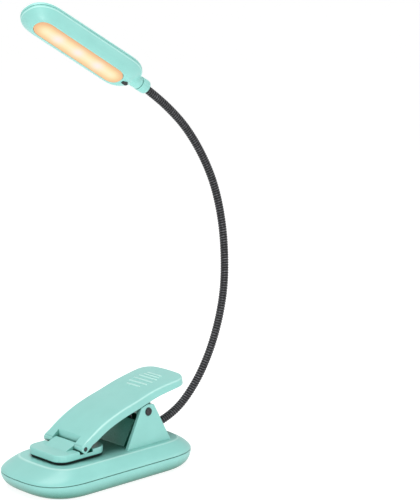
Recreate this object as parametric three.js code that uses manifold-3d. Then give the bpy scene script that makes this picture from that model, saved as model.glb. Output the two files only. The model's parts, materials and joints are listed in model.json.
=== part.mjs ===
// Clip-on reading lamp: a weighted base with a spring clip, a gooseneck and a long slim lamp head.
// Millimetres, +Z up, +X from the clip's mouth towards the gooseneck. The origin is the middle of the
// base on the surface that it stands on.
import * as THREE from 'three';
import * as BufferGeometryUtils from 'three/addons/utils/BufferGeometryUtils.js';
import Module from 'manifold-3d';

const wasm = await Module();
wasm.setup();

// ---------------------------------------------------------------- driving dimensions
const GAP = 0.3;                       // clearance between separate pieces
const RAD = Math.PI / 180;

const BASE = {
  halfLength: 55.6, halfWidth: 28.5,   // at the parting line
  endLength: 28.4, squareness: 2.8,    // the rounded ends and how square their corners are
  floor: 0.4,                          // underside of the plastic, held up by the foot pad
  parting: 9.1, top: 16, wall: 1.8,
};
// The flat top of the base, inside its sloping shoulder.
const CREST = { front: -43.4, rear: 46.6, halfWidth: 21.7, endLength: 17, squareness: 3.3 };
// The flat underside of the base.
const SOLE = { front: -45, rear: 47.5, halfWidth: 22.8, endLength: 22, squareness: 2.9 };

const PIN = { x: 22.8, z: 34.4, radius: 2.15, halfLength: 17.2 };
const CHEEK = {
  footFront: 5.6, footRear: 38, thickness: 2.2, outerTop: 16.4, outerFoot: 18.3,
  // Its top follows the lever's underside, at rest in front of the pin and pressed down behind it.
  top: [[27.2, 37.8], [22.6, 38.5], [18.2, 37.35]],
};
const LEVER = {
  halfWidth: 16.4, thickness: 2.1, wall: 5, endWall: 4.4,
  end: 51.8, flare: 0.7, corner: 7.5,
};
const HUB = { inner: 11.4, outer: 13.4, radius: 4.7 };
const JAW_PIN = { x: -21.9, z: 22.6, radius: 1.15, earRadius: 2.4 };
const JAW = {
  front: -38.6, rear: -5.2, halfWidth: 15.2, corner: 7, bottom: 17.5, top: 21.4, tongue: 9, knuckle: 1.8,
};

const NECK = { radius: 2.35, dome: 2.2, joints: 6, firstJoint: 20, lastStub: 16, halfSides: 7 };
const HEAD = {
  seam: new THREE.Vector3(32.1, 0, 213.1),     // centre of the seam between collar and head
  pitch: 29.5, turn: 36,                       // rise of the head's axis and its turn about that axis
  drop: 0.8,                                   // collar axis below the head's parting plane
  start: 2, end: 86.3, halfWidth: 10.8, depth: 7.4, capDepth: 2.8, wall: 1.4,
  taperStart: 1.12, taperEnd: 0.86,            // the head is deeper at the neck than at its tip
  collarRadius: 3.9, collarBore: 2.9, collarLength: 5.8,
};
const FACE = { start: 13.2, end: 80.5, halfWidth: 5.8 };       // flat light-giving face of the head
const LENS = { start: 16, end: 79.7, halfWidth: 5, proud: 0.5 };
const BUTTON = { start: 10.2, end: 14.2, halfWidth: 1.15, bottom: 5.6 };
const LED_PITCH = 15;
const HEAD_SCREWS = [23, 75];                // distances along the head
const RUNNING_FIT = 0.12;                    // radial clearance of a pin in its bore
const FOOT_POCKET = 1.1;                     // depth that the foot pad is let into the base
const FOOT = { halfLength: 34, halfWidth: 18 };
const BALLAST = { x0: -32, x1: 30, halfWidth: 17, z0: 2.4, z1: 4.4 };
const BOARD = { x0: 26, x1: 51.5, halfWidth: 9, z0: 7.2, z1: 8.3 };
const SOCKET = { rear: 52.6, z: 5.2, halfWidth: 4.5, halfHeight: 1.65, depth: 7.5, sheet: 0.4 };
const BASE_SCREW = { x: 38, y: 14, foot: 0.5, length: 9, headRadius: 2.4, radius: 1 };
const BOSS = { radius: 2.6, bore: 1.15, foot: 3.2 };
const NECK_EXIT = { x: 36.4, z: 18.9, rise: 10 };   // where the gooseneck leaves the tower's rear wall
const FERRULE = { x: 29.9, z: 18.3, bedRadius: 3.6, bedLength: 8 };
const CORE_HALF_WIDTH = 10.6;                // between the two slots that the lever's hubs swing in
const LED_BOARD = { start: 9, end: 78, halfWidth: 4.2, bottom: 1.8, top: 2.8 };
const WIRE_WAY = 1.5;                        // radius of the way through the head's stub for the wires

// ---------------------------------------------------------------- solids
function toSolid(geometry) {
  const g = geometry.clone();
  g.deleteAttribute('normal');
  g.deleteAttribute('uv');
  const merged = BufferGeometryUtils.mergeVertices(g, 1e-4);
  return new wasm.Manifold(new wasm.Mesh({
    numProp: 3,
    vertProperties: new Float32Array(merged.attributes.position.array),
    triVerts: new Uint32Array(merged.index.array),
  }));
}

function toGeometry(solid) {
  const mesh = solid.getMesh();
  const g = new THREE.BufferGeometry();
  g.setAttribute('position', new THREE.BufferAttribute(new Float32Array(mesh.vertProperties), 3));
  g.setIndex(new THREE.BufferAttribute(new Uint32Array(mesh.triVerts), 1));
  g.computeVertexNormals();
  return g;
}

// Closed skin over rings that have the same number of points, with a flat cap on each end ring.
function loft(rings) {
  const n = rings[0].length;
  const positions = rings.flat().flatMap((p) => [p.x, p.y, p.z]);
  const index = [];
  for (let k = 0; k + 1 < rings.length; k++) {
    for (let i = 0; i < n; i++) {
      const a = k * n + i;
      const b = k * n + (i + 1) % n;
      index.push(a, b, a + n, b, b + n, a + n);
    }
  }
  const cap = (ring, start, flip) => {
    const middle = ring.reduce((sum, p) => sum.add(p), new THREE.Vector3()).divideScalar(n);
    const centre = positions.length / 3;
    positions.push(middle.x, middle.y, middle.z);
    for (let i = 0; i < n; i++) {
      const a = start + i;
      const b = start + (i + 1) % n;
      index.push(...(flip ? [b, a, centre] : [a, b, centre]));
    }
  };
  cap(rings[0], 0, true);
  cap(rings[rings.length - 1], (rings.length - 1) * n, false);
  const g = new THREE.BufferGeometry();
  g.setAttribute('position', new THREE.Float32BufferAttribute(positions, 3));
  g.setIndex(index);
  g.computeVertexNormals();
  return g;
}

// Long outline with rounded ends: straight sides between two half superellipses.
function slabRing(o, z, count) {
  const ring = [];
  for (let i = 0; i < count; i++) {
    const u = (i / count) * 2 * Math.PI;
    const c = Math.cos(u);
    const s = Math.sin(u);
    const reach = o.endLength * Math.abs(c) ** (2 / o.squareness);
    const x = c > 0 ? o.rear - o.endLength + reach : o.front + o.endLength - reach;
    ring.push(new THREE.Vector3(x, o.halfWidth * Math.sign(s) * Math.abs(s) ** (2 / o.squareness), z));
  }
  return ring;
}

function mixOutline(a, b, t) {
  const out = {};
  for (const key of ['front', 'rear', 'halfWidth', 'endLength', 'squareness']) {
    out[key] = a[key] + (b[key] - a[key]) * t;
  }
  return out;
}

function grow(o, by) {
  return {
    ...o, front: o.front - by, rear: o.rear + by, halfWidth: o.halfWidth + by, endLength: o.endLength + by,
  };
}

function box(x0, x1, y0, y1, z0, z1) {
  const g = new THREE.BoxGeometry(x1 - x0, y1 - y0, z1 - z0);
  return g.translate((x0 + x1) / 2, (y0 + y1) / 2, (z0 + z1) / 2);
}

// Cylinder about the line through (x, z) that runs along Y from y0 to y1.
function axle(x, z, radius, y0, y1, sides = 28) {
  const g = new THREE.CylinderGeometry(radius, radius, y1 - y0, sides);
  return g.translate(x, (y0 + y1) / 2, z);
}

// Upright cylinder.
function post(x, y, radius, z0, z1, sides = 20) {
  const g = new THREE.CylinderGeometry(radius, radius, z1 - z0, sides);
  return g.rotateX(Math.PI / 2).translate(x, y, (z0 + z1) / 2);
}

// Side view drawn in X and Z, given its thickness along Y.
function sidePlate(points, y0, y1) {
  const shape = new THREE.Shape(points.map(([x, z]) => new THREE.Vector2(x, z)));
  const g = new THREE.ExtrudeGeometry(shape, { depth: y1 - y0, bevelEnabled: false });
  return g.rotateX(Math.PI / 2).translate(0, y1, 0);
}

// The stretch of Y between two distances from the middle plane, on one side of it.
function across(side, inner, outer) {
  return side > 0 ? [inner, outer] : [-outer, -inner];
}

// Points on a circle in X and Z, between two angles in degrees.
function arc(cx, cz, radius, from, to, steps) {
  const points = [];
  for (let i = 0; i <= steps; i++) {
    const a = (from + ((to - from) * i) / steps) * RAD;
    points.push([cx + radius * Math.cos(a), cz + radius * Math.sin(a)]);
  }
  return points;
}

// ---------------------------------------------------------------- base
const PARTING = {
  front: -BASE.halfLength, rear: BASE.halfLength, halfWidth: BASE.halfWidth,
  endLength: BASE.endLength, squareness: BASE.squareness,
};
const BASE_POINTS = 52;
const CAVITY_TOP = BASE.top - 2;
const SCREW_SEAT = 1.75;                     // how deep the base screws' heads are sunk
const THROUGH = 20;                          // from the middle plane to past both sides of the clip

function shoulder(t) {
  return mixOutline(PARTING, CREST, t ** 1.5);
}

// The lower shell's side is a quarter ellipse from the parting line round to the sole.
function bilge(t) {
  return mixOutline(PARTING, SOLE, 1 - Math.sqrt(1 - (0.98 * t) ** 2));
}

function topCoverShell() {
  const z0 = BASE.parting + 0.15;
  const rise = BASE.top - z0;
  const outer = [0, 0.25, 0.5, 0.75, 1].map((t) => slabRing(shoulder(t), z0 + rise * t, BASE_POINTS));
  const inner = [1, 0.5, 0].map((t) => (
    slabRing(grow(shoulder(t * 0.8), -BASE.wall), z0 + (CAVITY_TOP - z0) * t, BASE_POINTS)
  ));
  return toSolid(loft([...inner, ...outer]));
}

function bottomCoverShell() {
  const z1 = BASE.parting - 0.15;
  const drop = z1 - BASE.floor;
  const outer = [1, 0.85, 0.6, 0.3, 0].map((t) => slabRing(bilge(t), z1 - drop * t, BASE_POINTS));
  const floorTop = BASE.floor + BASE.wall;
  const inner = [0, 0.5, 1].map((t) => (
    slabRing(grow(bilge(t * 0.85), -BASE.wall), z1 - (z1 - floorTop) * t, BASE_POINTS)
  ));
  return toSolid(loft([...outer, ...inner]));
}

// One cheek of the tower, leaning outwards from the pin down to its foot.
function cheek(side) {
  const foot = BASE.top - 1;
  const outline = [[CHEEK.footFront, foot], [CHEEK.footRear, foot], ...CHEEK.top];
  const g = sidePlate(outline, ...across(side, CHEEK.outerTop - CHEEK.thickness, CHEEK.outerTop));
  const p = g.attributes.position;
  const topZ = CHEEK.top[1][1];
  const lean = (CHEEK.outerFoot - CHEEK.outerTop) / (topZ - BASE.top);
  for (let i = 0; i < p.count; i++) {
    p.setY(i, p.getY(i) + side * lean * (topZ - p.getZ(i)));
  }
  return toSolid(g);
}

// The sloping walls in front of the pin and behind it. The rear one reaches into both cheeks.
function towerWalls() {
  const foot = BASE.top - 1;
  const front = [[9.2, foot], [12.2, foot], [19.6, 28.2], [18, 29.6]];
  const rear = [[34.9, foot], [37.2, foot], [31.2, 28.4], [28.9, 28.4]];
  const reach = CHEEK.outerTop - 0.2;
  return toSolid(sidePlate(front, -CORE_HALF_WIDTH, CORE_HALF_WIDTH))
    .add(toSolid(sidePlate(rear, -reach, reach)));
}

function screwPlaces() {
  const { x, y } = BASE_SCREW;
  return [[-x, -y], [-x, y], [x, -y], [x, y]];
}

function baseTopCover() {
  let solid = topCoverShell().add(towerWalls()).add(cheek(1)).add(cheek(-1));
  solid = solid.subtract(toSolid(axle(PIN.x, PIN.z, PIN.radius + RUNNING_FIT, -THROUGH, THROUGH)));
  const hole = new THREE.CylinderGeometry(NECK.radius + GAP, NECK.radius + GAP, 12, 24);
  hole.rotateZ(-Math.PI / 2 + NECK_EXIT.rise * RAD).translate(NECK_EXIT.x - 1, 0, NECK_EXIT.z);
  solid = solid.subtract(toSolid(hole));
  // Room for the gooseneck's ferrule, sunk into the top inside the tower.
  const bed = new THREE.CylinderGeometry(FERRULE.bedRadius, FERRULE.bedRadius, FERRULE.bedLength, 24);
  bed.rotateZ(-Math.PI / 2).translate(FERRULE.x, 0, FERRULE.z);
  solid = solid.subtract(toSolid(bed));
  for (const [x, y] of screwPlaces()) {
    const boss = toSolid(post(x, y, BOSS.radius, BOSS.foot, CAVITY_TOP + 1));
    solid = solid.add(boss.subtract(toSolid(post(x, y, BOSS.bore, BOSS.foot - 1, BASE.parting + 2))));
  }
  return toGeometry(solid);
}

function baseBottomCover() {
  const { halfLength, halfWidth } = FOOT;
  let solid = bottomCoverShell();
  solid = solid.subtract(toSolid(box(-halfLength, halfLength, -halfWidth, halfWidth, 0, FOOT_POCKET)));
  // The mouth of the charging socket, through the rear wall.
  const mouth = { y: SOCKET.halfWidth + GAP, z: SOCKET.halfHeight + GAP };
  solid = solid.subtract(toSolid(box(
    SOCKET.rear - 12, BASE.halfLength + 4, -mouth.y, mouth.y, SOCKET.z - mouth.z, SOCKET.z + mouth.z,
  )));
  for (const [x, y] of screwPlaces()) {
    solid = solid.subtract(toSolid(post(x, y, BASE_SCREW.radius + 0.6, 0, 6)));
    solid = solid.subtract(toSolid(post(x, y, BASE_SCREW.headRadius + 0.5, 0, SCREW_SEAT)));
  }
  return toGeometry(solid);
}

function footPad() {
  const x = FOOT.halfLength - GAP;
  const y = FOOT.halfWidth - GAP;
  return box(-x, x, -y, y, 0, FOOT_POCKET - 0.1);
}

function ballastPlate() {
  return box(BALLAST.x0, BALLAST.x1, -BALLAST.halfWidth, BALLAST.halfWidth, BALLAST.z0, BALLAST.z1);
}

function batteryCell() {
  const ring = (x, inset) => slabRing(
    { front: -24 + inset, rear: 10 - inset, halfWidth: 15 - inset, endLength: 4, squareness: 5 }, x, 24,
  );
  return loft([ring(4.8, 1), ring(6.2, 0), ring(10.4, 0), ring(11.8, 1)]);
}

function controlBoard() {
  return box(BOARD.x0, BOARD.x1, -BOARD.halfWidth, BOARD.halfWidth, BOARD.z0, BOARD.z1);
}

// Metal shell of the charging socket, open at the rear, with its contact tongue.
function chargeSocket() {
  const { rear, halfWidth: w, halfHeight: h, z, depth, sheet } = SOCKET;
  const front = rear - depth;
  const tongue = { halfWidth: 3.2, halfHeight: 0.35 };
  let solid = toSolid(box(front, rear, -w, w, z - h, z + h));
  solid = solid.subtract(toSolid(box(
    front + 1.9, rear + 1, -w + sheet, w - sheet, z - h + sheet, z + h - sheet,
  )));
  solid = solid.add(toSolid(box(
    front + 1, rear - 1, -tongue.halfWidth, tongue.halfWidth, z - tongue.halfHeight, z + tongue.halfHeight,
  )));
  return toGeometry(solid);
}

// Pan-head self-tapping screw standing on its head, pointing up.
function screwGeometry(x, y, z0, length, headRadius, shankRadius) {
  const profile = [
    [0, 0], [headRadius * 0.8, 0], [headRadius, 0.4], [headRadius, 1.2],
    [shankRadius, 1.2], [shankRadius, length - 0.8], [0, length],
  ];
  const g = new THREE.LatheGeometry(profile.map(([r, h]) => new THREE.Vector2(r, h)), 14);
  return g.rotateX(Math.PI / 2).translate(x, y, z0);
}

// ---------------------------------------------------------------- clip
// Height of the lever's top along its length: a long arch that flattens towards the thumb end.
const leverTop = new THREE.CatmullRomCurve3(
  [
    [-24.8, 23.4], [-18, 28.4], [-8.4, 33.9], [3, 38.4], [16, 42.1], [28.4, 45.6], [42, 48],
    [LEVER.end, 49.3],
  ].map(([x, z]) => new THREE.Vector3(x, 0, z)),
);

function leverSection(t) {
  const p = leverTop.getPointAt(t);
  const d = leverTop.getTangentAt(t);
  const normal = new THREE.Vector3(-d.z, 0, d.x);
  // The side walls are shallower towards the thumb end.
  const wall = THREE.MathUtils.lerp(LEVER.wall, LEVER.endWall, THREE.MathUtils.smoothstep(t, 0.6, 1));
  const flare = LEVER.flare * THREE.MathUtils.smoothstep(p.x, 28, 44);
  // The thumb end is rounded off in plan.
  const into = Math.max(0, LEVER.corner - (LEVER.end - p.x));
  const round = Math.sqrt(Math.max(0, LEVER.corner ** 2 - into ** 2)) - LEVER.corner;
  const w = LEVER.halfWidth + flare + round;
  const inner = w - LEVER.thickness;
  const edge = 1;
  const outline = [
    [w, -wall], [w, -edge], [w - 0.3, -0.3], [w - edge, 0], [0, 0.35], [-w + edge, 0], [-w + 0.3, -0.3],
    [-w, -edge], [-w, -wall], [-inner, -wall], [-inner, -LEVER.thickness], [0, -LEVER.thickness + 0.35],
    [inner, -LEVER.thickness], [inner, -wall],
  ];
  return outline.map(([y, h]) => p.clone().addScaledVector(normal, h).setY(y));
}

function leverBody() {
  const steps = 26;
  const rings = [];
  for (let i = 0; i <= steps; i++) {
    rings.push(leverSection(0.015 + 0.985 * (i / steps)));
  }
  return toSolid(loft(rings));
}

function lever() {
  let solid = leverBody();
  // Solid ears either side of the cut-out that the jaw's tongue fits.
  const earOutline = [
    ...arc(JAW_PIN.x, JAW_PIN.z, JAW_PIN.earRadius, 130, 325, 12), [-13.5, 26.6], [-16.2, 29], [-20, 26.5],
  ];
  for (const side of [-1, 1]) {
    const ear = across(side, JAW.tongue + GAP, LEVER.halfWidth);
    solid = solid.add(toSolid(sidePlate(earOutline, ...ear)));
  }
  const mouth = box(-30, -19.6, -JAW.tongue - GAP, JAW.tongue + GAP, 15, 40);
  solid = solid.subtract(toSolid(mouth));
  // Hubs that carry the lever on the main pin, hanging from its underside.
  const hubOutline = [
    [PIN.x - 4.6, 41.2], ...arc(PIN.x, PIN.z, HUB.radius, 170, 370, 14), [PIN.x + 4.6, 42.6],
  ];
  for (const side of [-1, 1]) {
    solid = solid.add(toSolid(sidePlate(hubOutline, ...across(side, HUB.inner, HUB.outer))));
  }
  solid = solid.subtract(toSolid(axle(PIN.x, PIN.z, PIN.radius + RUNNING_FIT, -THROUGH, THROUGH)));
  solid = solid.subtract(toSolid(axle(
    JAW_PIN.x, JAW_PIN.z, JAW_PIN.radius + RUNNING_FIT, -THROUGH, THROUGH,
  )));
  return toGeometry(solid);
}

// Torsion spring round the pin, with a leg on the tower's floor and a leg under the lever.
function returnSpring() {
  const wire = 0.55;
  const radius = 3.4;
  const turns = 5;
  const pitch = 1.5;
  const legs = [13.5, 13];
  class SpringPath extends THREE.Curve {
    getPoint(t) {
      // Straight leg, coil, straight leg.
      const leg = 0.12;
      const start = 200 * RAD;
      const coil = THREE.MathUtils.clamp((t - leg) / (1 - 2 * leg), 0, 1);
      const a = start - coil * (turns * 2 * Math.PI + 130 * RAD);
      const y = (coil - 0.5) * turns * pitch;
      const p = new THREE.Vector3(PIN.x + radius * Math.cos(a), y, PIN.z + radius * Math.sin(a));
      const along = new THREE.Vector3(Math.sin(a), 0, -Math.cos(a));
      if (t < leg) {
        p.addScaledVector(along, -legs[0] * (1 - t / leg));
      } else if (t > 1 - leg) {
        p.addScaledVector(along, legs[1] * ((t - 1 + leg) / leg));
      }
      return p;
    }
  }
  const section = new THREE.Shape().absarc(0, 0, wire, 0, 2 * Math.PI);
  return new THREE.ExtrudeGeometry(section, {
    steps: 84, curveSegments: 4, bevelEnabled: false, extrudePath: new SpringPath(),
  });
}

// Rectangle with rounded corners, level at the given height.
function roundedRect(x0, x1, halfWidth, corner, z, perCorner = 6) {
  const ring = [];
  const centres = [[x1, 1, 0], [x0, 1, 90], [x0, -1, 180], [x1, -1, 270]];
  for (const [x, side, start] of centres) {
    const cx = x === x1 ? x1 - corner : x0 + corner;
    const cy = side * (halfWidth - corner);
    for (let i = 0; i <= perCorner; i++) {
      const a = (start + (90 * i) / perCorner) * RAD;
      ring.push(new THREE.Vector3(cx + corner * Math.cos(a), cy + corner * Math.sin(a), z));
    }
  }
  return ring;
}

function jawPlate() {
  const { front, rear, halfWidth, corner, bottom, top } = JAW;
  const ring = (inset, z) => roundedRect(front + inset, rear - inset, halfWidth - inset, corner - inset, z);
  let solid = toSolid(loft([ring(0.5, bottom), ring(0, bottom + 0.6), ring(0, top - 1), ring(1, top)]));
  // The tongue that turns on the jaw pin, between notches that the lever's ears swing in.
  const tongueOutline = [
    [-31, 21], [-27, 20], [-16, 20], [-19.9, 22], ...arc(JAW_PIN.x, JAW_PIN.z, JAW.knuckle, 20, 110, 8),
  ];
  solid = solid.add(toSolid(sidePlate(tongueOutline, -JAW.tongue, JAW.tongue)));
  for (const side of [-1, 1]) {
    const y = across(side, JAW.tongue, halfWidth + 2);
    solid = solid.subtract(toSolid(box(-25, -16, ...y, JAW_PIN.z - JAW_PIN.earRadius - 0.4, top + 5)));
  }
  solid = solid.subtract(toSolid(box(-19.9, -12, -JAW.tongue - 1, JAW.tongue + 1, top, 30)));
  solid = solid.subtract(toSolid(axle(
    JAW_PIN.x, JAW_PIN.z, JAW_PIN.radius + RUNNING_FIT, -THROUGH, THROUGH, 20,
  )));
  return toGeometry(solid);
}

function jawPad() {
  const { front, rear, halfWidth, corner } = JAW;
  const ring = (inset, z) => roundedRect(front + inset, rear - inset, halfWidth - inset, corner - inset, z);
  return loft([ring(1.2, BASE.top + 0.2), ring(0.8, BASE.top + 0.5), ring(0.8, JAW.bottom - 0.1)]);
}

// ---------------------------------------------------------------- gooseneck
const axisAngle = HEAD.pitch * RAD;
const headAxis = new THREE.Vector3(-Math.cos(axisAngle), 0, Math.sin(axisAngle));
const neckTop = HEAD.seam.clone().addScaledVector(headAxis, -1);
const neckPath = new THREE.CatmullRomCurve3(
  [
    [27.5, 18.1], [36.4, 18.9], [48.2, 21], [60.8, 26.4], [72.5, 36.5], [82.3, 49.7], [90.3, 66.5],
    [95.6, 86], [96.9, 105], [94.6, 129], [88.4, 151], [79.1, 169], [66.6, 185.6], [52, 199],
  ].map(([x, z]) => new THREE.Vector3(x, 0, z)).concat([neckTop]),
);
const neckLength = neckPath.getLength();
const NECK_INSIDE = 9;                          // hidden in the tower before the rear wall

// Distances along the neck at which it hinges, evenly spaced.
function neckStations() {
  const first = NECK_INSIDE + NECK.firstJoint;
  const last = neckLength - HEAD.collarLength - NECK.lastStub;
  const stations = [];
  for (let i = 0; i < NECK.joints; i++) {
    stations.push(first + ((last - first) * i) / (NECK.joints - 1));
  }
  return stations;
}

class PathSpan extends THREE.Curve {
  constructor(from, to) {
    super();
    this.from = from / neckLength;
    this.to = to / neckLength;
  }

  getPoint(t) {
    return neckPath.getPointAt(THREE.MathUtils.clamp(THREE.MathUtils.lerp(this.from, this.to, t), 0, 1));
  }
}

// One rigid length of gooseneck: a dished end round the joint before it, a domed end at the next.
function neckSegment(from, to, dished, domed) {
  const section = new THREE.Shape().absarc(0, 0, NECK.radius, 0, 2 * Math.PI);
  let solid = toSolid(new THREE.ExtrudeGeometry(section, {
    steps: Math.max(3, Math.round((to - from) / 7)),
    curveSegments: NECK.halfSides, bevelEnabled: false, extrudePath: new PathSpan(from, to),
  }));
  const ball = (s, radius) => {
    const p = neckPath.getPointAt(s / neckLength);
    const along = neckPath.getTangentAt(s / neckLength);
    const angle = Math.atan2(along.x, along.z);
    const g = new THREE.SphereGeometry(radius, 2 * NECK.halfSides, 8);
    return toSolid(g.rotateX(Math.PI / 2).rotateY(angle).translate(p.x, p.y, p.z));
  };
  if (domed) {
    solid = solid.add(ball(to, NECK.dome));
  }
  if (dished) {
    solid = solid.subtract(ball(from, NECK.dome + GAP));
  }
  return toGeometry(solid);
}

// Ring whose axis runs from one point to another.
function sleeve(a, b, inner, outer, sides = 20) {
  const h = a.distanceTo(b);
  const profile = [[inner, 0], [outer, 0], [outer, h], [inner, h], [inner, 0]];
  const g = new THREE.LatheGeometry(profile.map(([r, y]) => new THREE.Vector2(r, y)), sides);
  const up = new THREE.Vector3(0, 1, 0);
  const turn = new THREE.Quaternion().setFromUnitVectors(up, b.clone().sub(a).normalize());
  return g.applyQuaternion(turn).translate(a.x, a.y, a.z);
}

// ---------------------------------------------------------------- head
// The head is drawn lying flat: X along its length from the collar seam, Y across, Z towards the light.
const HEAD_POINTS = 44;
const slim = (o, endLength) => ({
  front: o.start, rear: o.end, halfWidth: o.halfWidth, endLength, squareness: 2.3,
});
const HEAD_RIM = slim(HEAD, 15);
const HEAD_FACE = slim(FACE, 9);
const LENS_OUTLINE = slim(LENS, 7);

// Makes a ring on the light's side of the head follow the head's taper.
function taper(ring) {
  for (const p of ring) {
    if (p.z > 0) {
      p.z *= THREE.MathUtils.lerp(HEAD.taperStart, HEAD.taperEnd, p.x / HEAD.end);
    }
  }
  return ring;
}

function headRing(t, z, inset) {
  return taper(slabRing(grow(mixOutline(HEAD_RIM, HEAD_FACE, t), -inset), z, HEAD_POINTS));
}

// The part of the round stub facing the collar that lies between two heights. Each shell forms half of it.
function stub(z0, z1) {
  const tube = toSolid(lyingTube(0.15, 8, HEAD.collarRadius - 0.2, HEAD.drop, 28));
  return tube.intersect(toSolid(box(-1, 9, -9, 9, z0, z1)));
}

function lyingTube(x0, x1, radius, z, sides = 24) {
  const g = new THREE.CylinderGeometry(radius, radius, x1 - x0, sides);
  return g.rotateZ(Math.PI / 2).translate((x0 + x1) / 2, 0, z);
}

function headBottomShell() {
  const d = HEAD.depth;
  const w = HEAD.wall;
  const outer = toSolid(loft([
    headRing(0, 0.1, 0), headRing(0.04, 1.3, 0), headRing(0.42, d * 0.58, -0.35), headRing(0.9, d - 0.5, 0),
    headRing(1, d, 0.2),
  ]));
  const inner = toSolid(loft([
    headRing(0, -1, w), headRing(0.04, 1, w), headRing(0.42, d * 0.58 - 0.9, w - 0.35),
    headRing(0.9, d - w, w),
  ]));
  let solid = outer.add(stub(0.1, 9)).subtract(inner);
  const lensHole = (z) => taper(slabRing(grow(LENS_OUTLINE, GAP), z, 40));
  solid = solid.subtract(toSolid(loft([lensHole(d - 4), lensHole(d + 2)])));
  solid = solid.subtract(toSolid(lyingTube(-1, 11, WIRE_WAY, HEAD.drop, 16)));
  solid = solid.subtract(toSolid(buttonBlank(0.25, 3, d + 3)));
  for (const x of HEAD_SCREWS) {
    const boss = toSolid(post(x, 0, 1.9, 0.4, 1.6, 16));
    const rib = toSolid(box(x - 0.6, x + 0.6, -10, 10, 0.4, 1.5));
    solid = solid.add(boss.add(rib).subtract(toSolid(post(x, 0, 1.15, 0, 4, 16))).intersect(outer));
  }
  return toGeometry(solid);
}

function headTopShell() {
  const depth = HEAD.capDepth;
  let solid = toSolid(loft([
    headRing(0, -depth, 2.4), headRing(0, -depth + 0.4, 0.9), headRing(0, -1.4, 0.15), headRing(0, -0.1, 0),
  ]));
  solid = solid.add(stub(-9, -0.1));
  const inner = [headRing(0, -depth + 1.1, HEAD.wall + GAP), headRing(0, 1, HEAD.wall)];
  solid = solid.subtract(toSolid(loft(inner)));
  solid = solid.subtract(toSolid(lyingTube(-1, 11, WIRE_WAY, HEAD.drop, 16)));
  for (const x of HEAD_SCREWS) {
    const stud = toSolid(post(x, 0, 2, -depth + 0.8, 0.1, 16));
    solid = solid.add(stud.subtract(toSolid(post(x, 0, 1.1, -1.1, 1, 16))));
  }
  return toGeometry(solid);
}

// Rounded push button, drawn with its sides grown by the given margin.
function buttonBlank(margin, z0, z1) {
  const { start, end, halfWidth } = BUTTON;
  const o = grow({ front: start, rear: end, halfWidth, endLength: halfWidth, squareness: 2 }, margin);
  return loft([slabRing(o, z0, 20), slabRing(o, z1, 20)]);
}

function lensPlate() {
  const z1 = HEAD.depth + LENS.proud;
  const ring = (inset, z) => taper(slabRing(grow(LENS_OUTLINE, -inset), z, 40));
  return loft([ring(0, z1 - 1.9), ring(0, z1 - 0.35), ring(0.5, z1)]);
}

function ledBoard() {
  const { start, end, halfWidth, bottom, top } = LED_BOARD;
  let solid = toSolid(box(start, end, -halfWidth, halfWidth, bottom, top));
  for (const x of HEAD_SCREWS) {
    solid = solid.subtract(toSolid(post(x, 0, 1.15, 1, 4, 16)));
  }
  return toGeometry(solid);
}

// Places a piece that was drawn lying flat onto the tilted, turned head.
const headFrame = (() => {
  const along = headAxis.clone();
  const down = new THREE.Vector3(-Math.sin(axisAngle), 0, -Math.cos(axisAngle));
  const turn = HEAD.turn * RAD;
  const light = down.clone().multiplyScalar(Math.cos(turn)).add(new THREE.Vector3(0, -Math.sin(turn), 0));
  const across = light.clone().cross(along);
  return new THREE.Matrix4().makeBasis(along, across, light);
})();

// ---------------------------------------------------------------- assembly
const MINT = { color: '#a2dbd2', roughness: 0.42, metalness: 0 };
const BLACK = { color: '#16181b', roughness: 0.5, metalness: 0 };
const STEEL = { color: '#b9bcc0', roughness: 0.35, metalness: 1 };
const GUNMETAL = { color: '#2b2d31', roughness: 0.4, metalness: 0.7 };
const BOARD_GREEN = { color: '#1d5b3c', roughness: 0.6, metalness: 0 };
const GREY = { color: '#8d9298', roughness: 0.6, metalness: 0 };
const WARM = { color: '#fff0c8', roughness: 0.35, metalness: 0 };
const YELLOW = { color: '#f2c23c', roughness: 0.5, metalness: 0 };

const lamp = new THREE.Group();

function piece(name, geometry, finish, parent = lamp) {
  const mesh = new THREE.Mesh(geometry, new THREE.MeshStandardMaterial(finish));
  mesh.name = name;
  parent.add(mesh);
}

piece('base_top_cover', baseTopCover(), MINT);
piece('base_bottom_cover', baseBottomCover(), MINT);
piece('foot_pad', footPad(), BLACK);
piece('ballast_plate', ballastPlate(), STEEL);
piece('battery_cell', batteryCell(), GREY);
piece('control_board', controlBoard(), BOARD_GREEN);
piece('charge_socket', chargeSocket(), STEEL);
for (const [i, [x, y]] of screwPlaces().entries()) {
  const { foot, length, headRadius, radius } = BASE_SCREW;
  piece(`base_screw_${i + 1}`, screwGeometry(x, y, foot, length, headRadius, radius), STEEL);
}

piece('hinge_pin', axle(PIN.x, PIN.z, PIN.radius, -PIN.halfLength, PIN.halfLength), BLACK);
piece('return_spring', returnSpring(), STEEL);
piece('lever', lever(), MINT);
const jawPinEnd = LEVER.halfWidth + 0.1;
piece('jaw_pin', axle(JAW_PIN.x, JAW_PIN.z, JAW_PIN.radius, -jawPinEnd, jawPinEnd, 20), BLACK);
piece('jaw_plate', jawPlate(), MINT);
piece('jaw_pad', jawPad(), BLACK);

const ferruleEnds = [1, 5.5].map((along) => neckPath.getPointAt(along / neckLength));
piece('neck_ferrule', sleeve(...ferruleEnds, NECK.radius + 0.15, 3.2), STEEL);
const stations = neckStations();
const ends = [0, ...stations, neckLength];
for (let i = 0; i + 1 < ends.length; i++) {
  piece(`neck_segment_${i}`, neckSegment(ends[i], ends[i + 1], i > 0, i + 2 < ends.length), GUNMETAL);
}
const collarEnds = [HEAD.collarLength, GAP / 2].map((before) => (
  HEAD.seam.clone().addScaledVector(headAxis, -before)
));
piece('neck_collar', sleeve(...collarEnds, HEAD.collarBore, HEAD.collarRadius, 28), MINT);

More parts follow.
